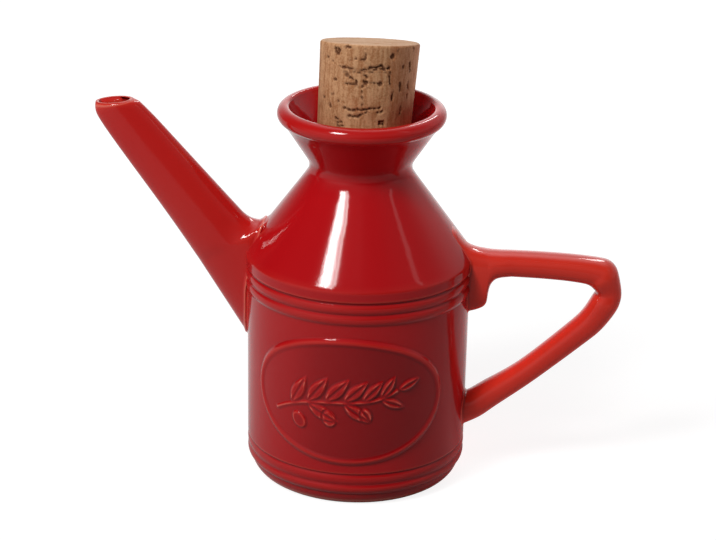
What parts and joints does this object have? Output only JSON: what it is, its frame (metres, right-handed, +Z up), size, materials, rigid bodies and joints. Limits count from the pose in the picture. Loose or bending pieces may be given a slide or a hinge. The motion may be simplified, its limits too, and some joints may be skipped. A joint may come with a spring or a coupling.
{
  "type": "olive oil jug",
  "caption": "Round glazed earthenware oil jug with a funnel neck, a long slanting spout, an angular handle and a tapered cork.",
  "frame": {"origin": "centre of the jug's round base, on the plane that it stands on", "axes": "+Z up along the jug's axis, +X towards the handle, -X towards the spout, -Y towards the plaque"},
  "size_m": [0.191, 0.082, 0.165],
  "materials": {
    "body_glaze": "deep red, high gloss glaze",
    "spout_glaze": "deep red, high gloss glaze",
    "handle_glaze": "deep red, high gloss glaze",
    "cork": "matt natural cork with dark pores"
  },
  "bodies": {
    "jug": {"jug_body": "body_glaze", "spout": "spout_glaze", "handle": "handle_glaze"},
    "cork": {"cork": "cork"}
  },
  "joints": [
    {"name": "cork_lift", "type": "slide", "parent": "jug", "child": "cork", "axis": [0.0505, 0.0436, 0.9978], "range_m": [0, 0.06]}
  ]
}
